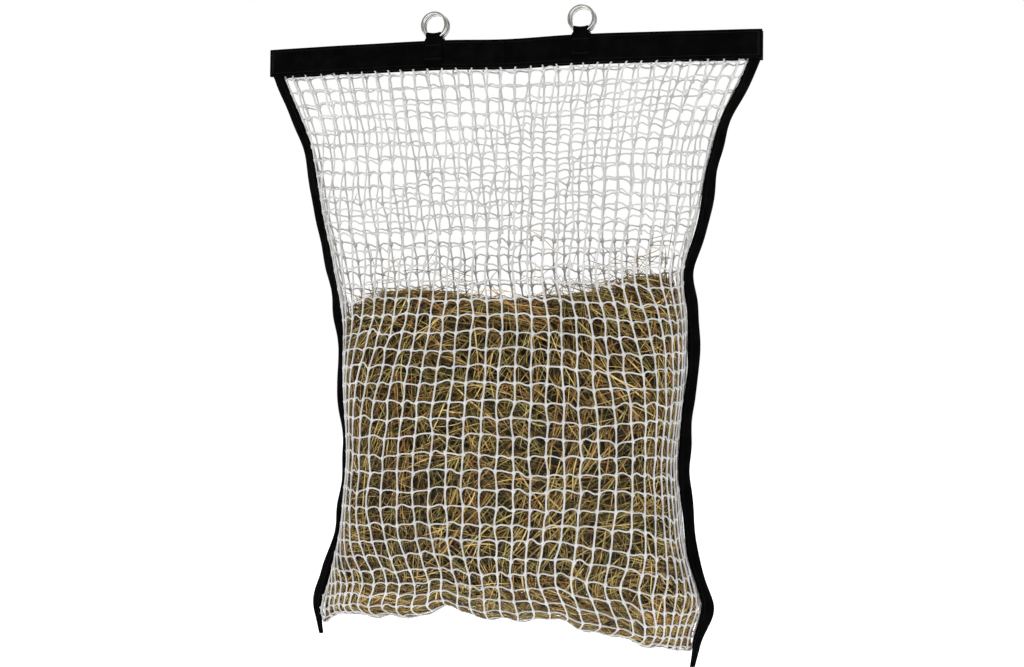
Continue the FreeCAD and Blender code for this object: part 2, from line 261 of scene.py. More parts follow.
def webbing_material(name, tone, rib_scale):
    """Black polypropylene webbing: woven ribs, paler on their raised parts and in noisy patches."""
    shader = Shader(name)
    across = shader.wave(shader.place((1.0, 0.6, 0.6)), rib_scale, 0.6, 1.0, "X")
    down = shader.wave(shader.place((0.6, 0.6, 1.0)), rib_scale, 0.6, 1.0, "Z")
    height = shader.math("MULTIPLY", across, down)
    rib_height_and_noise = shader.math("ADD", shader.math("MULTIPLY", height, 0.5), shader.noise(45.0, 5.0))
    dark = tuple(c * tone for c in (0.0006, 0.0006, 0.0006))
    pale = tuple(c * tone for c in (0.0028, 0.0028, 0.0029))
    # the colour is paler where the ribs rise and where the noise is high
    shader.join(shader.ramp(rib_height_and_noise, [(0.45, dark), (1.0, pale)]), "Base Color")
    rough = shader.ramp(shader.noise(120.0, 2.0), [(0.3, (0.70,) * 3), (0.7, (0.90,) * 3)])
    shader.join(rough, "Roughness")
    shader.bump(height, 0.55, 0.0006)
    shader.set(Specular_IOR_Level=0.02)
    return shader.material


def thread_material():
    """Black bonded sewing thread, twisted, a little shinier than the webbing."""
    shader = Shader("seam_thread")
    twist = shader.wave(shader.place(), 420.0, 0.8, 2.0, "DIAGONAL")
    shader.join(shader.ramp(twist, [(0.2, (0.0015,) * 3), (0.9, (0.007,) * 3)]), "Base Color")
    shader.bump(twist, 0.5, 0.0003)
    shader.set(Roughness=0.5, Specular_IOR_Level=0.12)
    return shader.material


def ring_material():
    """Nickel-plated steel: bright, with a faint grain and small dull patches."""
    shader = Shader("ring_nickel")
    patches = shader.noise(60.0, 6.0)
    shader.join(shader.ramp(patches, [(0.3, (0.40, 0.39, 0.37)), (0.6, (0.62, 0.61, 0.59))]), "Base Color")
    shader.join(shader.ramp(patches, [(0.35, (0.16,) * 3), (0.6, (0.09,) * 3)]), "Roughness")
    shader.bump(shader.noise(500.0, 3.0), 0.12, 0.0002)
    shader.set(Metallic=1.0)
    return shader.material


def hay_material(name, stops):
    """Dried grass: each stalk has its own tone, darker in blotches along it; the tone also carries painted
    shade where stalks lie deep.
    """
    shader = Shader(name)
    tone = shader.node("Attribute", attribute_name="stalk_tone_and_painted_shade").outputs["Fac"]
    blotch = shader.math("MULTIPLY", shader.math("SUBTRACT", shader.noise(70.0, 4.0), 0.5), 0.45)
    shader.join(shader.ramp(shader.math("ADD", tone, blotch), stops), "Base Color")
    fibres = shader.noise(1.0, 3.0, where=shader.place((2600, 2600, 2600)))
    shader.bump(fibres, 0.35, 0.0004)
    shader.set(Roughness=0.66)
    return shader.material


# ---------------------------------------------------------------- reading the frame's shapes


def tree_of(*names):
    """A ray-casting tree of these CAD nodes together."""
    corners, faces = [], []
    for name in names:
        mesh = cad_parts[name].data
        start = len(corners)
        corners += [v.co.copy() for v in mesh.vertices]
        faces += [[start + i for i in p.vertices] for p in mesh.polygons]
    return BVHTree.FromPolygons(corners, faces)


NET_TREES = {
    FRONT: tree_of("front_net_upper", "front_net_lower"),
    BACK: tree_of("back_net"),
}
TAPE_TREE = tree_of("side_binding_right")
HEADER_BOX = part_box("header_band_front")
TAPE_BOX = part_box("side_binding_right")
RING_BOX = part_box("ring_front_right")
HEADER_LOW, HEADER_TOP = HEADER_BOX[0].z, HEADER_BOX[1].z
HINGE_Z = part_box("front_net_upper")[0].z
TIP_Z = TAPE_BOX[0].z
HALF_HEADER = HEADER_BOX[1].x
EDGE_Y = 1.0 * MM  # just off the side seams' plane, where both panels' edges are
HEADER_HEIGHT = HEADER_TOP - HEADER_LOW
HEADER_THICKNESS = HEADER_BOX[1].y - HEADER_BOX[0].y
TAPE_THICKNESS = TAPE_BOX[1].y - TAPE_BOX[0].y
RING_OUTER = RING_BOX[1].x - RING_BOX[0].x
RING_WIRE = RING_BOX[1].y - RING_BOX[0].y
RING_MEAN = (RING_OUTER - RING_WIRE) / 2
RING_X = (RING_BOX[1].x + RING_BOX[0].x) / 2
RING_AXIS_Z = RING_BOX[0].z + RING_WIRE / 2  # the line a ring swings about
HAY_TOP_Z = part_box("hay_fill")[1].z
FOLD_GUARD_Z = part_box("hay_fill")[0].z - 0.02
HANDS = (("left", -1), ("right", 1))

# How the header hangs, and its sewing
HEADER_DROOP_ENDS = 4.5 * MM
HEADER_DROOP_MIDDLE = 3.0 * MM
SEAM_PITCH = 4.6 * MM
SEAM_INSET = 5.5 * MM

# Hay
HAY_PIECES = 4
HAY_CORE_ROWS = 40
PAINTED_SHADE_WITH_DEPTH = 0.5  # painted shade: how much darker the deepest stalks are than the outermost, for the shadow the stalks above cast on them
HAY_CORE_DEPTH = 0.030  # from the top of the stalks down to the top of the mass behind them
HAND_WISPS = [  # the ones that stand out in the photo, as Hay.wisps takes them
    (-0.276, 0.15, -0.335, 1.2, 1.0, 0.030),
    (-0.105, 0.12, -0.470, 0.3, -0.6, 0.050),
    (0.085, 0.15, -0.415, 0.2, -0.75, 0.062),
    (0.290, 0.20, -0.420, 2.6, 1.15, 0.080),
]


def ray(tree, start, direction):
    """Where the ray first meets the tree, tried again higher and lower where it slips through a joint."""
    for nudge in (0.0, 0.001, -0.001, 0.003, -0.003, 0.008):
        hit = tree.ray_cast(Vector(start) + Vector((0, 0, nudge)), Vector(direction))[0]
        if hit is not None:
            return hit
    return None


def net_half_width(side, z):
    hit = ray(NET_TREES[side], (1.0, side * EDGE_Y, z), (-1, 0, 0))
    return abs(hit.x)


def fold_z(side, x):
    """Height of the bottom fold at x."""
    hit = ray(NET_TREES[side], (x, side * EDGE_Y, TIP_Z - 0.2), (0, 0, 1))
    return hit.z


BOTTOM_HALF_WIDTH = net_half_width(FRONT, fold_z(FRONT, 0.0))


def resample(points, count, gather):
    """Points along a level row, even across the panel's face and down its sides, and gathered in its ears."""
    beside_face = ease((np.abs(points[1:, 0]) - FACE_HALF_WIDTH) / EAR_WIDTH)
    across = np.abs(np.diff(points[:, 0])) * (1 + gather * beside_face)
    steps = np.maximum(across, SIDE_STEEPNESS * np.abs(np.diff(points[:, 1])))
    length = np.concatenate([[0.0], np.cumsum(steps)])
    where = np.linspace(0, length[-1], count)
    return np.stack([np.interp(where, length, points[:, k]) for k in range(3)], axis=1)


def ease(t):
    t = np.clip(t, 0, 1)
    return t * t * (3 - 2 * t)


def ear_gather(share):
    """The columns' gather in the ears, this share of the way down: full just above the fold."""
    grows, slackens = ease((share - 0.6) / 0.26), ease((share - 0.86) / 0.14)
    return EAR_GATHER * float(grows * (1 - 0.6 * slackens))


def hang(points):
    """Where points of the frame's even bag go as it hangs, leaning right with one corner low."""
    points = np.array(points, float)
    x, z = points[..., 0].copy(), points[..., 2].copy()
    lean = ease((LEAN_FROM_Z - z) / LEAN_GROWS_OVER) * (1 - ease((LEAN_FADES_FROM_Z - z) / LEAN_FADES_OVER))
    points[..., 0] += LEAN * lean
    droop = CORNER_DROOP * ease((x - DROOP_FROM_X) / DROOP_WIDTH)
    points[..., 2] -= droop * ease((DROOP_FROM_Z - z) / DROOP_HEIGHT)
    return points


def bottom_lift(x, share):
    """How much higher the netting sits than the frame's panel: the bottom hangs in uneven lobes."""
    weight = min(max((share - 0.72) / 0.28, 0.0), 1.0) ** 2
    notches = sum(height * math.exp(-(((x - at) / spread) ** 2)) for at, height, spread in NOTCHES)
    ripple = 0.0035 * math.sin(x * 62 + 1.0) + 0.0025 * math.sin(x * 117)
    return weight * (notches + ripple)


class Skin:
    """The outside of one net panel as a grid, near enough even along the cloth, with its rows level."""

    ACROSS, DOWN = 97, 121

    def __init__(self, side):
        self.side = side
        rows = []
        for j in range(self.DOWN):
            share = j / (self.DOWN - 1)
            rows.append(resample(self.row(share), self.ACROSS, ear_gather(share)))
        grid = np.array(rows)  # down, across, xyz
        steps = np.linalg.norm(np.diff(grid, axis=0), axis=2).mean(axis=1)
        length = np.concatenate([[0.0], np.cumsum(steps)])
        where = np.interp(np.linspace(0, length[-1], self.DOWN), length, np.arange(self.DOWN))
        low = np.minimum(where.astype(int), self.DOWN - 2)
        part = (where - low)[:, None, None]
        grid = grid[low] * (1 - part) + grid[low + 1] * part
        self.grid = grid.transpose(1, 0, 2)  # across, down, xyz
        for i in range(self.ACROSS):
            for j in range(self.DOWN):
                self.grid[i, j, 2] += bottom_lift(self.grid[i, j, 0], j / (self.DOWN - 1))
        self.grid = hang(self.grid)
        du = np.gradient(self.grid, axis=0)
        dv = np.gradient(self.grid, axis=1)
        normals = np.cross(du, dv) * -side
        self.normals = normals / np.maximum(np.linalg.norm(normals, axis=2, keepdims=True), 1e-9)
        if self.normals[self.ACROSS // 2, self.DOWN // 2, 1] * side < 0:
            self.normals *= -1
        self.across_size = np.linalg.norm(du, axis=2) * (self.ACROSS - 1)
        self.down_size = np.linalg.norm(dv, axis=2) * (self.DOWN - 1)

    def row(self, share):
        """A level line across the panel, this share of the way down from the header to the fold."""
        down = math.sin(share * math.pi / 2)
        points = []
        count = 120
        for i in range(count + 1):
            across = math.sin((2 * i / count - 1) * math.pi / 2)
            fold = fold_z(self.side, across * BOTTOM_HALF_WIDTH)
            z = HEADER_LOW + (fold - HEADER_LOW) * down
            z = min(max(z, fold + 0.0004), HEADER_LOW - 0.0002)
            x = across * net_half_width(self.side, z)
            hit = None
            if abs(across) < 0.9999:
                hit = NET_TREES[self.side].ray_cast(Vector((x, self.side, z)), Vector((0, -self.side, 0)))[0]
            y = hit.y if hit is not None and hit.y * self.side > 0 else self.side * EDGE_Y
            points.append((x, y, z))
        return np.array(points)

    def look_up(self, table, u, v):
        """Values of a grid between its points, at shares u across and v down."""
        a = np.clip(u, 0, 1) * (self.ACROSS - 1)
        b = np.clip(v, 0, 1) * (self.DOWN - 1)
        i = np.minimum(a.astype(int), self.ACROSS - 2)
        j = np.minimum(b.astype(int), self.DOWN - 2)
        s, t = a - i, b - j
        if table.ndim == 3:
            s, t = s[..., None], t[..., None]
        low = table[i, j] * (1 - s) + table[i + 1, j] * s
        high = table[i, j + 1] * (1 - s) + table[i + 1, j + 1] * s
        return low * (1 - t) + high * t

    def at(self, u, v, depth=0.0):
        """Points at shares u across and v down, this far inside the panel."""
        u, v = np.asarray(u, float), np.asarray(v, float)
        depth = np.asarray(depth, float)[..., None]
        return self.look_up(self.grid, u, v) - self.look_up(self.normals, u, v) * depth

    def share_down(self, z):
        """Share of the way down the middle line of the height z."""
        middle = self.grid[self.ACROSS // 2, :, 2]
        return float(np.interp(-z, -middle, np.linspace(0, 1, self.DOWN)))


SKINS = {side: Skin(side) for side in (FRONT, BACK)}


# ---------------------------------------------------------------- mesh making


def add_object(name, corners, faces, material, smooth=True, uv=None, tone=None):
    mesh = bpy.data.meshes.new(name)
    mesh.from_pydata([tuple(c) for c in corners], [], faces)
    if smooth:
        mesh.polygons.foreach_set("use_smooth", [True] * len(mesh.polygons))
    if uv is not None:
        layer = mesh.uv_layers.new(name="along_and_round")
        index = np.zeros(len(mesh.loops), int)
        mesh.loops.foreach_get("vertex_index", index)
        layer.data.foreach_set("uv", np.asarray(uv, np.float32)[index].ravel())
    if tone is not None:
        attribute = mesh.attributes.new("stalk_tone_and_painted_shade", "FLOAT", "POINT")
        attribute.data.foreach_set("value", np.asarray(tone, np.float32))
    mesh.materials.append(material)
    made = bpy.data.objects.new(name, mesh)
    bpy.context.scene.collection.objects.link(made)
    return made


def unit(vectors):
    return vectors / np.maximum(np.linalg.norm(vectors, axis=-1, keepdims=True), 1e-9)


class Tubes:
    """Many closed tubes gathered into one mesh."""

    def __init__(self):
        self.items = []

    def add(self, path, outward, half_width, half_depth, sides=6, tone=0.0):
        """One tube along a path. outward is the surface's normal along it; the half sizes may vary."""
        path = np.asarray(path, float)
        n = len(path)
        along = unit(np.gradient(path, axis=0))
        across = unit(np.cross(along, outward))
        up = np.cross(across, along)
        half_width = np.broadcast_to(half_width, n)[:, None, None]
        half_depth = np.broadcast_to(half_depth, n)[:, None, None]
        angles = np.linspace(0, 2 * math.pi, sides, endpoint=False)
        ring = (
            path[:, None]
            + across[:, None] * np.cos(angles)[None, :, None] * half_width
            + up[:, None] * np.sin(angles)[None, :, None] * half_depth
        )
        steps = np.linalg.norm(np.diff(path, axis=0), axis=1)
        length = np.concatenate([[0.0], np.cumsum(steps)])
        around = np.abs(np.linspace(-1, 1, sides, endpoint=False))
        uv = np.stack([np.repeat(length / TWINE_BRAID, sides), np.tile(around, n)], axis=1)
        self.items.append((ring, uv, tone))

    def make(self, name, material, keep=lambda ring: True):
        """One object of the tubes that keep() lets through."""
        corners, faces, uv, tones, start = [], [], [], [], 0
        for ring, ring_uv, tone in self.items:
            if not keep(ring):
                continue
            n, sides = ring.shape[:2]
            corners.append(ring.reshape(-1, 3))
            uv.append(ring_uv)
            tones.append(np.full(n * sides, tone))
            index = start + np.arange(n * sides).reshape(n, sides)
            turned = np.roll(index, -1, axis=1)
            quads = np.stack([index[:-1], turned[:-1], turned[1:], index[1:]], axis=-1).reshape(-1, 4)
            faces += quads.tolist()
            faces.append(index[0, ::-1].tolist())
            faces.append(index[-1].tolist())
            start += n * sides
        return add_object(
            name, np.concatenate(corners), faces, material, uv=np.concatenate(uv), tone=np.concatenate(tones)
        )


def loft(name, rings, material, smooth=True):
    """A closed solid through rings of points, with its ends capped."""
    rings = np.asarray(rings, float)
    n, sides = rings.shape[:2]
    index = np.arange(n * sides).reshape(n, sides)
    turned = np.roll(index, -1, axis=1)
    faces = np.stack([index[:-1], turned[:-1], turned[1:], index[1:]], axis=-1).reshape(-1, 4).tolist()
    faces.append(index[0, ::-1].tolist())
    faces.append(index[-1].tolist())
    return add_object(name, rings.reshape(-1, 3), faces, material, smooth)


def smooth_path(points, per_span):
    """A Catmull-Rom curve through the points."""
    p = np.asarray(points, float)
    padded = np.concatenate([[2 * p[0] - p[1]], p, [2 * p[-1] - p[-2]]])
    out = []
    for k in range(len(p) - 1):
        a, b, c, d = padded[k : k + 4]
        for t in np.arange(per_span) / per_span:
            square, cube = 2 * a - 5 * b + 4 * c - d, 3 * b - a - 3 * c + d
            out.append(0.5 * (2 * b + (c - a) * t + square * t * t + cube * t**3))
    out.append(p[-1])
    return np.array(out)


# ---------------------------------------------------------------- netting


def row_shares():
    """How far down each row of knots lies: closer above the hay than round it."""
    marks = np.arange(ROWS + 1) / ROWS
    pitch = ROWS_TIGHTER_AT_TOP + (1 - ROWS_TIGHTER_AT_TOP) * np.clip((marks - 0.25) / 0.3, 0, 1)
    steps = (pitch[1:] + pitch[:-1]) / 2
    steps[0] *= FIRST_ROW_SHARE
    sums = np.concatenate([[0.0], np.cumsum(steps)])
    return sums / sums[-1]


def waves(count, scale):
    """A smooth random wobble over (u, v): a sum of slow sine waves."""
    terms = [
        (RANDOM.uniform(2, 9), RANDOM.uniform(2, 9), RANDOM.uniform(0, 6.28), RANDOM.uniform(0.4, 1.0))
        for _ in range(count)
    ]
    return lambda u, v: scale * sum(w * np.sin(a * u * 2 + b * v * 2 + p) for a, b, p, w in terms) / count


class Net:
    """One panel's knots, and the tubes of twine between them."""

    def __init__(self, side):
        self.skin = SKINS[side]
        self.side = side
        u = np.linspace(0, 1, COLUMNS + 1)[:, None] * np.ones((1, ROWS + 1))
        v = row_shares()[None, :] * np.ones((COLUMNS + 1, 1))
        cell_u, cell_v = 1 / COLUMNS, 1 / ROWS
        sway, dip = waves(6, 0.75 * cell_u), waves(6, 0.8 * cell_v)
        edge = np.minimum(1, np.minimum(u, 1 - u) * COLUMNS / 3)
        ends = np.minimum(1, np.minimum(v, 1 - v) * ROWS / 3)
        low_end = np.minimum(1, (1 - v) * ROWS / 4)
        u = u + edge * low_end * (sway(u, v) + RANDOM.normal(0, 0.055, u.shape) * cell_u)
        v = v + ends * (dip(u, v) + RANDOM.normal(0, 0.075, v.shape) * cell_v)
        self.u, self.v = u, v

    def pull_row_to(self, row, share):
        """Moves one row of knots to this share down, and its neighbours part of the way."""
        near = np.clip(1 - np.abs(np.arange(ROWS + 1) - row) / 4, 0, 1)
        self.v = self.v + (share - self.v[:, row])[:, None] * near[None, :]

    def surface(self, u, v, lift=0.0):
        return self.skin.at(u, v, UPRIGHT_R - lift)

    def normal(self, u, v):
        return self.skin.look_up(self.skin.normals, np.asarray(u), np.asarray(v))

    def uprights(self, tubes, first_row, last_row, overlap=0.0):
        """Twines that run down, between two rows of knots. overlap lengthens them past those rows."""
        rows = np.arange(first_row, last_row + 1)
        t = np.concatenate([(rows[:-1, None] + UPRIGHT_STEPS[None, :]).ravel(), [last_row]])
        from_knot = np.where(t > 0.5, np.abs(t - np.round(t)), 0.5)
        swell = 1 + (KNOT_SWELL - 1) * np.interp(from_knot, *KNOT_SHAPE)
        for i in range(COLUMNS + 1):
            u = np.interp(t, rows, self.u[i, rows])
            v = np.interp(t, rows, self.v[i, rows])
            v[0] -= overlap if first_row > 0 else 0.0
            v[-1] += overlap if last_row < ROWS else 0.0
            bow = RANDOM.normal(0, 0.05 / COLUMNS, len(rows))
            u = u + np.interp(t, rows, bow) * np.sin(math.pi * (t % 1))
            wide = UPRIGHT_R * swell * RANDOM.uniform(0.92, 1.1, len(t))
            deep = UPRIGHT_R * (1 + (swell - 1) * 0.35)
            tubes.add(self.surface(u, v), self.normal(u, v), wide, deep, sides=6)

    def levels(self, tubes, first_row, last_row):
        """Twines that run across: each is a slack arch or S between two knots."""
        t = np.linspace(0, 1, 7)
        for j in range(first_row, last_row + 1):
            for i in range(COLUMNS):
                u = self.u[i, j] + (self.u[i + 1, j] - self.u[i, j]) * t
                v = self.v[i, j] + (self.v[i + 1, j] - self.v[i, j]) * t
                kick = RANDOM.normal(0.03, 0.04) / ROWS
                arch = RANDOM.normal(0.085, 0.05) / ROWS
                if j == ROWS:
                    kick, arch = 0.0, RANDOM.uniform(0.1, 0.35) / ROWS
                v = v - kick * np.sin(2 * math.pi * t) - arch * np.sin(math.pi * t)
                swell = 1 + 0.35 * np.abs(2 * t - 1) ** 4
                lift = 0.0006 * np.sin(math.pi * t) * RANDOM.uniform(-1, 1)
                radius = LEVEL_R * RANDOM.uniform(0.88, 1.12)
                path = self.surface(u, v, lift)
                tubes.add(path, self.normal(u, v), radius * swell, radius * swell, sides=5)


def net_pieces(side):
    """(name, tubes, number of rows) of one panel's parts above and below the hinge line."""
    net = Net(side)
    split = int(np.argmin(np.abs(row_shares() - SKINS[side].share_down(HINGE_Z))))
    if side == FRONT:
        net.pull_row_to(split, SKINS[side].share_down(HINGE_Z))
    last_level = ROWS if side == FRONT else ROWS - 1
    for part, first, last, levels in (
        ("upper", 0, split, (1, split - 1)),
        ("lower", split, ROWS, (split, last_level)),
    ):
        tubes = Tubes()
        net.uprights(tubes, first, last, overlap=0.15 / ROWS)
        net.levels(tubes, *levels)
        yield part, tubes, last - first


def declare_net(piece, width, length):
    area = min(max(twine_area(piece), 0.3 * width * length), width * length)


def build_nets(material):
    """The back and front panels. The front one is in pieces above and below the hinge line, the upper part
    split left and right.
    """
    width = 2 * net_half_width(FRONT, HEADER_LOW - 0.001)
    for part, tubes, rows in net_pieces(BACK):
        piece = tubes.make("back_netting_" + part, material)
        declare_net(piece, width, rows * ROW_LENGTH)
        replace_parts(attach(piece, "root"), "back_net")
    for part, tubes, rows in net_pieces(FRONT):
        if part == "lower":
            piece = tubes.make("front_netting_lower", material)
            declare_net(piece, width, rows * ROW_LENGTH)
            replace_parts(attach(piece, "root"), "front_net_lower")
            continue
        for hand, half in HANDS:
            piece = tubes.make(
                "front_netting_upper_" + hand, material, keep=lambda ring: ring[..., 0].mean() * half > 0
            )
            declare_net(piece, width / 2, rows * ROW_LENGTH)
            blend_to_mouth(piece, half)
            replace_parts(piece, "front_net_upper")


def blend_to_mouth(piece, half):
    """A piece of the front, left or right, with its place baked into its vertices."""
    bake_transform(piece)


def twine_area(piece):
    """Half the surface of the twine: its area as a cloth."""
    area = np.zeros(len(piece.data.polygons))
    piece.data.polygons.foreach_get("area", area)
    return float(area.sum()) / 2


# ---------------------------------------------------------------- header, tabs and rings


def header_offset(x):
    """How the header hangs from its tabs: (y, z) shifts at x. It droops between them and at its ends."""
    out = max(abs(x) - RING_X, 0.0) / (HALF_HEADER - RING_X)
    between = math.cos(math.pi * x / (2 * RING_X)) ** 2 if abs(x) < RING_X else 0.0
    z = -HEADER_DROOP_ENDS * out**1.6 - HEADER_DROOP_MIDDLE * between
    y = 0.0006 * math.sin(x * 23 + 0.7) + 0.0003 * math.sin(x * 51 + 2.0)
    return y, z


def header_section():
    """The folded webbing's outline, (y, z) about its centre: the fold on top, two selvedges below."""
    h, t = HEADER_HEIGHT / 2, HEADER_THICKNESS / 2
    front = [(-0.94, -1.0), (-1, -0.965), (-1, -0.5), (-1, 0.0), (-1, 0.5), (-1, 0.87)]
    front += [(-0.92, 0.945), (-0.62, 0.988)]
    back = [(-y, z) for y, z in reversed(front)]
    slit = [(0.24, -1.0), (0.16, -0.94), (-0.16, -0.94), (-0.24, -1.0)]
    return [(y * t, z * h) for y, z in front + [(0.0, 1.0)] + back + slit]


def header_rings(header_y, low_x, high_x):
    steps = int(round((high_x - low_x) / (5 * MM)))
    rings = []
    for x in np.linspace(low_x, high_x, steps + 1):
        dy, dz = header_offset(x)
        middle = (HEADER_LOW + HEADER_TOP) / 2
        ring = [(x, header_y + dy + y, middle + dz + z) for y, z in header_section()]
        rings.append(ring)
    return rings


def stitch(tubes, start, end, outward, radius=0.5 * MM):
    """One stitch: a short thread that dips into the cloth at both ends."""
    a, b, n = np.array(start, float), np.array(end, float), np.array(outward, float)
    dip, rise = n * radius, n * radius * 0.6
    path = [a - dip, a * 0.8 + b * 0.2 + rise, a * 0.2 + b * 0.8 + rise, b - dip]
    tubes.add(path, np.tile(n, (4, 1)), radius, radius * 0.8, sides=5)


def header_stitches(header_y, sign, low_x, high_x):
    tubes = Tubes()
    count = int((high_x - low_x) / SEAM_PITCH)
    for row in (-1, 1):
        for k in range(count):
            x = low_x + (k + 0.2) * SEAM_PITCH
            if any(abs(x + SEAM_PITCH / 2 - s * RING_X) < TAB_FOOT_WIDTH / 2 for s in (-1, 1)):
                continue
            points = []
            for end_x in (x, x + SEAM_PITCH * 0.78):
                dy, dz = header_offset(end_x)
                z = (HEADER_LOW + HEADER_TOP) / 2 + dz + row * (HEADER_HEIGHT / 2 - SEAM_INSET)
                points.append((end_x, header_y + dy + sign * (HEADER_THICKNESS / 2 + 0.1 * MM), z))
            stitch(tubes, points[0], points[1], (0, sign, 0))
    return tubes


def corner_tacks(header_y, sign, half):
    """The dense bar of zigzag thread at one end of a header."""
    tubes = Tubes()
    x = half * (HALF_HEADER - 6 * MM)
    dy, dz = header_offset(x)
    y = header_y + dy + sign * (HEADER_THICKNESS / 2 + 0.1 * MM)
    low = (HEADER_LOW + HEADER_TOP) / 2 + dz - 19 * MM
    for k in range(30):
        z = low + k * 1.3 * MM
        stitch(tubes, (x - 2.2 * MM, y, z), (x + 2.2 * MM, y, z + 0.6 * MM), (0, sign, 0), 0.45 * MM)
    return tubes


def build_header(webbing, thread):
    for place, sign in (("front", FRONT), ("back", BACK)):
        low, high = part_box("header_band_" + place)
        header_y = (low.y + high.y) / 2
        for hand, half in HANDS:
            span = sorted((0.0, half * HALF_HEADER))
            end = f"{place}_{hand}"
            band = loft("header_" + end, header_rings(header_y, *span), webbing)
            seams = header_stitches(header_y, sign, *span).make("header_seams_" + end, thread)
            tacks = corner_tacks(header_y, sign, half).make("corner_tacks_" + end, thread)
            pieces = [
                (band, "webbing_black", "header_band_"),
                (seams, "thread_black", "header_stitching_"),
                (tacks, "thread_black", "corner_bartacks_"),
            ]
            for piece, slot, node in pieces:
                if sign == FRONT:
                    blend_to_mouth(piece, half)
                else:
                    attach(piece, "root")
                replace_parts(piece, node + place)


def tab_line(x, sign):
    """The tab's middle surface at x, as (y, z) about the ring's hinge line, outer leg to inner leg."""
    wire_r = RING_WIRE / 2
    eye_r = RING_MEAN - wire_r
    swept = RING_MEAN - math.sqrt(eye_r**2 - x**2)
    edge = RING_MEAN - math.sqrt(eye_r**2 - (TAB_TOP_WIDTH / 2) ** 2) + 0.6 * MM
    wide, tight = swept + 1.4 * MM, wire_r + 1.4 * MM
    leg_y = HEADER_THICKNESS / 2 + WEBBING / 2
    neck = HEADER_TOP - RING_AXIS_Z
    line = [(sign * leg_y, neck - TAB_LEG * t) for t in (1.0, 0.75, 0.5, 0.25, 0.06)]
    for k in range(13):
        angle = math.pi / 2 - math.pi * k / 12
        radius = tight + (wide - tight) * ease((angle + math.pi / 2) / (math.pi / 3))
        top = TAB_FLATTENING * max(math.cos(angle), 0.0) ** 2
        line.append((sign * radius * math.sin(angle), (radius + (edge - radius) * top) * math.cos(angle)))
    line += [(-sign * leg_y, neck - TAB_LEG * t) for t in (0.06, 0.25, 0.5, 0.75, 1.0)]
    return smooth_path(line, 3)


def tab_rings(x, header_y, sign):
    """The tab's closed sections, leg to leg, each a thin strip across it."""
    columns = np.linspace(-1, 1, 9)
    lines = np.array([tab_line(c * TAB_TOP_WIDTH / 2, sign) for c in columns])
    along = unit(np.gradient(lines, axis=1))
    normal = np.stack([-along[..., 1], along[..., 0]], axis=-1)
    rings = []
    steps = lines.shape[1]
    for k in range(steps):
        foot = min(max((-2.4 * MM - lines[4, k, 1]) / (4.5 * MM), 0.0), 1.0)
        width = TAB_TOP_WIDTH + (TAB_FOOT_WIDTH - TAB_TOP_WIDTH) * foot
        dy, dz = header_offset(x)
        ring = []
        for face, order in ((0.5, range(9)), (-0.5, range(8, -1, -1))):
            for c in order:
                edge = 1 - 0.35 * abs(columns[c]) ** 8
                y, z = lines[c, k] + normal[c, k] * WEBBING * face * edge
                ring.append((x + columns[c] * width / 2, header_y + dy + y, RING_AXIS_Z + dz + z))
        rings.append(ring)
    return rings


def tab_tacks(x, header_y, sign):
    """Two bars of zigzag thread across the tab's outer leg."""
    tubes = Tubes()
    y = header_y + header_offset(x)[0] + sign * (HEADER_THICKNESS / 2 + WEBBING + 0.05 * MM)
    for z in (HEADER_TOP - 9 * MM, HEADER_TOP - TAB_LEG + 4 * MM):
        for k in range(18):
            at = x - TAB_FOOT_WIDTH / 2 + 2.5 * MM + k * (TAB_FOOT_WIDTH - 5 * MM) / 17
            stitch(tubes, (at, y, z - 1.3 * MM), (at + 0.6 * MM, y, z + 1.3 * MM), (0, sign, 0), 0.45 * MM)
    return tubes


def build_tabs(webbing, thread):
    for place, sign in (("front", FRONT), ("back", BACK)):
        body = "mouth_front" if sign == FRONT else "root"
        low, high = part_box("header_band_" + place)
        header_y = (low.y + high.y) / 2
        for hand, half in HANDS:
            name = f"{place}_{hand}"
            tab = loft("tab_" + name, tab_rings(half * RING_X, header_y, sign), webbing)
            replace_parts(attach(tab, body), "ring_tab_" + name)
            tacks = tab_tacks(half * RING_X, header_y, sign).make("tab_tacks_" + name, thread)
            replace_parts(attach(tacks, body), "tab_bartacks_" + place)


def finish_rings(material):
    """The rings keep their shape from the frame, and take their plating."""
    for name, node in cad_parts.items():
        if name.startswith("ring_") and not name.startswith("ring_tab"):
            node.data.materials.clear()
            node.data.materials.append(material)


# ---------------------------------------------------------------- side tapes


def tape_section():
    """The folded tape's outline: (share of the width from its inner edge, share of its half thickness)."""
    front = [(0.0, -0.85), (0.12, -1.0), (0.4, -0.98), (0.65, -0.85), (0.85, -0.62), (0.96, -0.34)]
    back = [(a, -b) for a, b in reversed(front)]
    return front + [(1.0, 0.0)] + back + [(0.06, 0.3), (0.06, -0.3)]


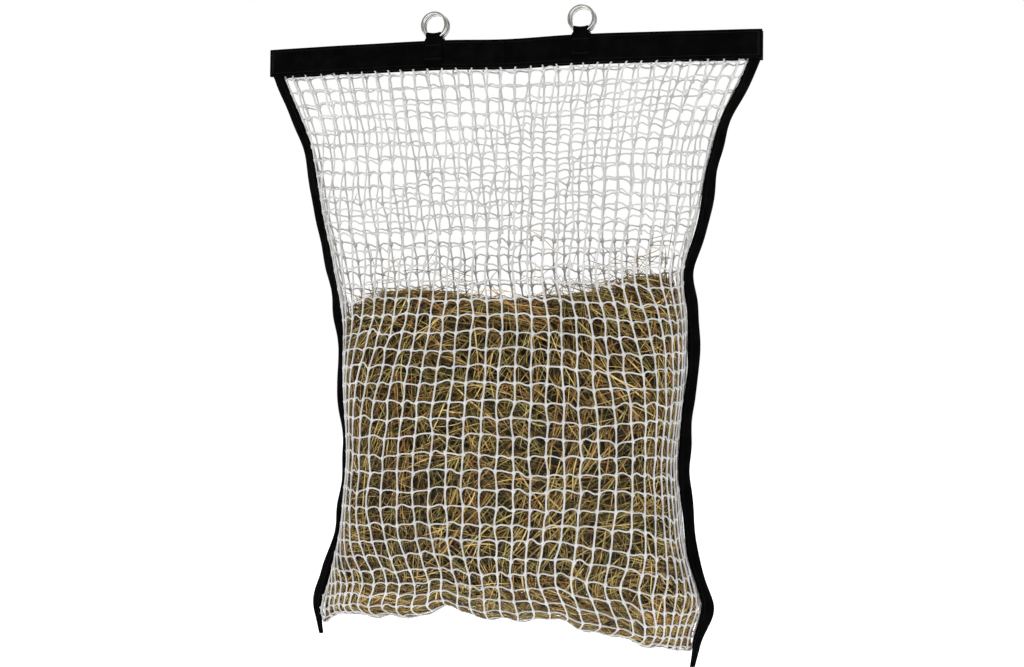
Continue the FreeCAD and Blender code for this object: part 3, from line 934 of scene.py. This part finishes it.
class Tape:
    """One side tape: its edges from the frame, with the waves and twist of sewn tape added."""

    def __init__(self, half):
        self.half = half
        self.wobble = [(RANDOM.uniform(0, 6.28), RANDOM.uniform(0.85, 1.15)) for _ in range(8)]
        self.top = HEADER_LOW + 0.03

    def wave(self, k, z, length, size):
        phase, stretch = self.wobble[k]
        return size * math.sin(2 * math.pi * z / (length * stretch) + phase)

    def frame_at(self, z):
        """(inner x, width, y shift, twist) of the tape at this height."""
        outer = TAPE_TREE.ray_cast(Vector((1, 0, z)), Vector((-1, 0, 0)))[0].x
        inner = TAPE_TREE.ray_cast(Vector((0, 0, z)), Vector((1, 0, 0)))[0].x
        calm = min(max((HEADER_LOW - z) / 0.06, 0.0), 1.0)
        width = (outer - inner) * (1 + calm * (self.wave(0, z, 0.085, 0.05) + self.wave(1, z, 0.21, 0.06)))
        x = inner + calm * (self.wave(2, z, 0.12, 0.0011) + self.wave(3, z, 0.30, 0.0012))
        y = calm * (self.wave(4, z, 0.16, 0.0026) + self.wave(5, z, 0.37, 0.0032))
        twist = calm * (self.wave(6, z, 0.19, 0.22) + self.wave(7, z, 0.11, 0.10))
        return x, width, y, twist

    def point(self, z, across, thick):
        """A point of the tape: across from 0, its inner edge, to 1; thick from -1, its front, to 1."""
        x, width, y, twist = self.frame_at(z)
        r = (across - 0.3) * width
        t = thick * TAPE_THICKNESS / 2
        px = x + 0.3 * width + r * math.cos(twist) - t * math.sin(twist)
        py = y + r * math.sin(twist) + t * math.cos(twist)
        return hang((self.half * px, py, z))

    def rings(self):
        levels = np.linspace(self.top, TIP_Z + 0.0006, 260)
        return [[self.point(z, a, b) for a, b in tape_section()] for z in levels]

    def stitches(self):
        tubes = Tubes()
        z = HEADER_LOW - 0.006
        while z > TIP_Z + 0.012:
            for face in (-1, 1):
                start = self.point(z, 0.3, face * 1.02)
                end = self.point(z - SEAM_PITCH * 0.75, 0.3, face * 1.02)
                stitch(tubes, start, end, (0, face, 0))
            z -= SEAM_PITCH
        return tubes


def build_tapes(tape_cloth, thread):
    for hand, half in HANDS:
        tape = Tape(half)
        piece = loft("side_tape_" + hand, tape.rings(), tape_cloth)
        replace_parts(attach(piece, "root"), "side_binding_" + hand)
        seam = tape.stitches().make("side_seam_" + hand, thread)
        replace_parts(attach(seam, "root"), "side_stitching_" + hand)


# ---------------------------------------------------------------- hay


def hay_top(x):
    """Height of the hay's surface at x: low at the left end and in the middle, heaped on the right."""
    heap = 0.026 * math.exp(-(((x - 0.28) / 0.09) ** 2))
    dip = 0.015 * math.exp(-(((x - 0.03) / 0.08) ** 2)) + 0.045 * math.exp(-(((x + 0.315) / 0.05) ** 2))
    return HAY_TOP_Z + heap - dip + 0.004 * math.sin(x * 31)


class Hay:
    """Stalks gathered in a few tones, each a piece of its own."""

    def __init__(self):
        self.pieces = [Tubes() for _ in range(HAY_PIECES)]
        self.added = 0

    def stalks(self, paths, normals, half_width, half_depth, shade=0.0):
        """Adds many stalks at once: paths is (stalks, points, 3); shade darkens them, as painted shade for
        those that lie deep.
        """
        shade = np.broadcast_to(shade, len(paths))
        taper = np.array([0.55, 0.9, 1.0, 1.0, 0.95, 0.8, 0.35])
        for k in range(len(paths)):
            tubes = self.pieces[self.added % HAY_PIECES]
            # a stalk's own random tone, less the painted shade it is given
            tone = float(np.clip(RANDOM.normal(0.66, 0.22) - shade[k], 0.0, 1.0))
            tubes.add(paths[k], normals[k], half_width[k] * taper, half_depth[k] * taper, sides=3, tone=tone)
            self.added += 1

    def lay_on(self, side, count, deepest, shallowest, bundles, from_share=0.3):
        """Stalks that lie along a panel, inside it, between two depths."""
        skin = SKINS[side]
        u = RANDOM.uniform(0.03, 0.97, count)
        v = RANDOM.uniform(from_share, 0.985, count)
        middle = skin.at(u, v)
        below = middle[:, 2] < HAY_TOP_Z + 0.03
        u, v = u[below], v[below]
        count = len(u)
        seeds = RANDOM.uniform(0, 1, (bundles, 2))
        turns = RANDOM.uniform(0, math.pi, bundles)
        apart_u, apart_v = u[:, None] - seeds[None, :, 0], v[:, None] - seeds[None, :, 1]
        nearest = np.argmin(apart_u**2 + apart_v**2, axis=1)
        loose = RANDOM.random(count) < 0.45
        any_way = RANDOM.uniform(0, math.pi, count)
        angle = np.where(loose, any_way, turns[nearest] + RANDOM.normal(0, 0.22, count))
        length = np.clip(RANDOM.lognormal(math.log(0.085), 0.45, count), 0.025, 0.24)
        t = np.linspace(-0.5, 0.5, 7)[None, :]
        bend = RANDOM.normal(0, 0.2, count)[:, None]
        along, aside = length[:, None] * t, length[:, None] * bend * (t * t - 0.08)
        c, s = np.cos(angle)[:, None], np.sin(angle)[:, None]
        across_size = skin.look_up(skin.across_size, u, v)[:, None]
        down_size = skin.look_up(skin.down_size, u, v)[:, None]
        path_u = u[:, None] + (along * c - aside * s) / across_size
        path_v = v[:, None] + (along * s + aside * c) / down_size
        path_u, path_v = np.clip(path_u, 0.012, 0.988), np.clip(path_v, 0.0, 0.992)
        depth = RANDOM.uniform(shallowest, deepest, count)[:, None]
        depth = depth + RANDOM.normal(0, 0.05, count)[:, None] * along + RANDOM.normal(0, 0.0006, (count, 7))
        paths = skin.at(path_u, path_v, np.maximum(depth, shallowest))
        normals = skin.look_up(skin.normals, path_u, path_v)
        width = RANDOM.choice([0.5, 0.7, 1.0, 1.7], count, p=[0.35, 0.35, 0.22, 0.08]) * MM
        # painted shade: the deeper a stalk lies, the darker its tone, for the shadow of the stalks above it
        shade = PAINTED_SHADE_WITH_DEPTH * np.clip((depth[:, 0] - 0.004) / 0.012, 0, 1)
        highest = paths[:, :, 2].max(axis=1)
        tops = np.array([hay_top(x) for x in paths[:, 3, 0]])
        keep = highest < tops + RANDOM.normal(0.001, 0.006, count)
        self.stalks(paths[keep], normals[keep], width[keep], np.minimum(width, 0.55 * MM)[keep], shade[keep])

    def heap(self, count):
        """Stalks that lie across the top of the hay, between the panels."""
        paths, normals = [], []
        for _ in range(count):
            x = RANDOM.uniform(-0.30, 0.31)
            z = hay_top(x) - 0.006 - abs(RANDOM.normal(0, 0.018))
            front, back = panel_y(FRONT, x, z), panel_y(BACK, x, z)
            y = front + (back - front) * RANDOM.uniform(0.04, 0.96)
            turn, tilt = RANDOM.uniform(0, 2 * math.pi), RANDOM.normal(0, 0.12)
            paths.append(self.free_path((x, y, z), turn, tilt, RANDOM.uniform(0.03, 0.12)))
            normals.append(np.tile((0.2, 0.1, 1.0), (7, 1)))
        width = RANDOM.uniform(0.5, 1.2, count) * MM
        self.stalks(hang(paths), normals, width, width * 0.6, 0.12)

    def wisps(self, places):
        """Loose stalks above the hay: (x, depth share between the panels, z, turn, tilt, length)."""
        paths, normals = [], []
        for x, share, z, turn, tilt, length in places:
            front, back = panel_y(FRONT, x, z), panel_y(BACK, x, z)
            paths.append(self.free_path((x, front + (back - front) * share, z), turn, tilt, length))
            normals.append(np.tile((0.1, -1.0, 0.1), (7, 1)))
        width = RANDOM.uniform(0.45, 0.75, len(places)) * MM
        self.stalks(hang(paths), normals, width, width * 0.7, 0.2)

    def free_path(self, middle, turn, tilt, length):
        """A gently bent line of 7 points, kept between the panels."""
        level = math.cos(tilt)
        direction = np.array([math.cos(turn) * level, math.sin(turn) * level, math.sin(tilt)])
        bend = RANDOM.normal(0, 0.18, 3)
        points = []
        for t in np.linspace(-0.5, 0.5, 7):
            p = np.array(middle) + direction * length * t + bend * length * (t * t - 0.08)
            inside = 0.004
            reach = 0.9 * net_half_width(FRONT, min(max(p[2], FOLD_GUARD_Z), HEADER_LOW - 0.001))
            p[0] = min(max(p[0], -reach), reach)
            p[1] = min(max(p[1], panel_y(FRONT, p[0], p[2]) + inside), panel_y(BACK, p[0], p[2]) - inside)
            points.append(p)
        return points

    def make(self, materials):
        for k, tubes in enumerate(self.pieces):
            piece = tubes.make(f"hay_stalks_{k + 1}", materials[k % len(materials)])
            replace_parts(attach(piece, "root"), "hay_fill")


def panel_y(side, x, z):
    """Where a panel is at (x, z), on its inside."""
    z = min(max(z, FOLD_GUARD_Z), HEADER_LOW - 0.001)
    hit = NET_TREES[side].ray_cast(Vector((x, 0, z)), Vector((0, side, 0)))[0]
    return hit.y if hit is not None else side * EDGE_Y


def hay_core_in_painted_shade(material):
    """The mass of hay behind the stalks, domed on top, coloured near black as painted shade for the gaps
    between the stalks.
    """
    rings = []
    across = np.linspace(0.03, 0.97, 61)
    down = np.linspace(0, 1, HAY_CORE_ROWS)
    middle = SKINS[FRONT].grid[SKINS[FRONT].ACROSS // 2, :, 2]
    bottom = float(np.interp(0.88, np.linspace(0, 1, len(middle)), middle))
    drop = bottom - HAY_TOP_Z + HAY_CORE_DEPTH
    for k in range(HAY_CORE_ROWS):
        level = HAY_TOP_Z - HAY_CORE_DEPTH + drop * math.sin(down[k] * math.pi / 2)
        dome = min(1.0, 0.35 + 0.65 * math.sqrt(min(k / 7, 1.0)))
        ring = []
        for side, order in ((FRONT, across), (BACK, across[::-1])):
            share = np.full(len(order), SKINS[side].share_down(level))
            ring.append(SKINS[side].at(order, share, 0.015))
        ring = np.concatenate(ring)
        ring[:, 1] *= dome
        ring[:, 0] *= 0.9 + 0.1 * dome
        ring[:, 2] += np.array([hay_top(x) - HAY_TOP_Z for x in ring[:, 0]]) * max(0.0, 1 - k / 9)
        rings.append(ring)
    painted_shade_core = loft("hay_core_in_painted_shade", rings, material)
    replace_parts(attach(painted_shade_core, "root"), "hay_fill")


def build_hay():
    straw = hay_material(
        "hay_straw",
        [
            (0.1, (0.010, 0.006, 0.002)),
            (0.38, (0.080, 0.050, 0.013)),
            (0.62, (0.35, 0.24, 0.068)),
            (0.92, (0.77, 0.59, 0.24)),
        ],
    )
    olive = hay_material(
        "hay_olive",
        [
            (0.1, (0.008, 0.008, 0.002)),
            (0.4, (0.066, 0.060, 0.012)),
            (0.68, (0.245, 0.215, 0.050)),
            (0.95, (0.58, 0.50, 0.18)),
        ],
    )
    russet = hay_material(
        "hay_russet",
        [
            (0.1, (0.011, 0.005, 0.002)),
            (0.4, (0.105, 0.039, 0.010)),
            (0.7, (0.39, 0.17, 0.044)),
            (0.95, (0.66, 0.41, 0.14)),
        ],
    )
    # painted shade: the hay behind the stalks is coloured near black, the shadow in the gaps between them
    painted_shade_core = hay_material(
        "hay_core_in_painted_shade", [(0.0, (0.006, 0.0045, 0.003)), (0.08, (0.02, 0.016, 0.008)), (0.2, (0.06, 0.05, 0.022))]
    )
    hay_core_in_painted_shade(painted_shade_core)
    hay = Hay()
    hay.lay_on(FRONT, 6200, 0.017, 0.007, 150)
    hay.lay_on(FRONT, 3300, 0.007, 0.0035, 120)
    hay.lay_on(BACK, 6500, 0.016, 0.004, 150)
    hay.lay_on(FRONT, 900, 0.007, 0.003, 60, from_share=0.9)
    hay.lay_on(BACK, 900, 0.007, 0.003, 60, from_share=0.9)
    hay.heap(2600)
    wisps = list(HAND_WISPS)
    for k in range(105):
        on_the_heap = k % 5 < 3
        x = RANDOM.normal(0.21, 0.08) if on_the_heap else RANDOM.normal(-0.08, 0.14)
        x = float(np.clip(x, -0.3, 0.31))
        rise = abs(RANDOM.normal(0, 0.026)) + 0.002
        turn = RANDOM.uniform(0, 2 * math.pi)
        share, tilt, length = RANDOM.uniform(0.08, 0.6), RANDOM.normal(0.1, 0.6), RANDOM.uniform(0.03, 0.08)
        wisps.append((x, share, hay_top(x) + rise, turn, tilt, length))
    hay.wisps(wisps)
    hay.make([straw, olive, straw, russet])


# ---------------------------------------------------------------- the whole


def main():
    place_camera()
    light_the_studio()
    lay_the_floor()
    webbing = webbing_material("header_webbing", 1.0, 260.0)
    tape_cloth = webbing_material("side_tape", 1.5, 330.0)
    thread = thread_material()
    build_nets(twine_material())
    build_header(webbing, thread)
    build_tabs(webbing, thread)
    finish_rings(ring_material())
    build_tapes(tape_cloth, thread)
    build_hay()


main()
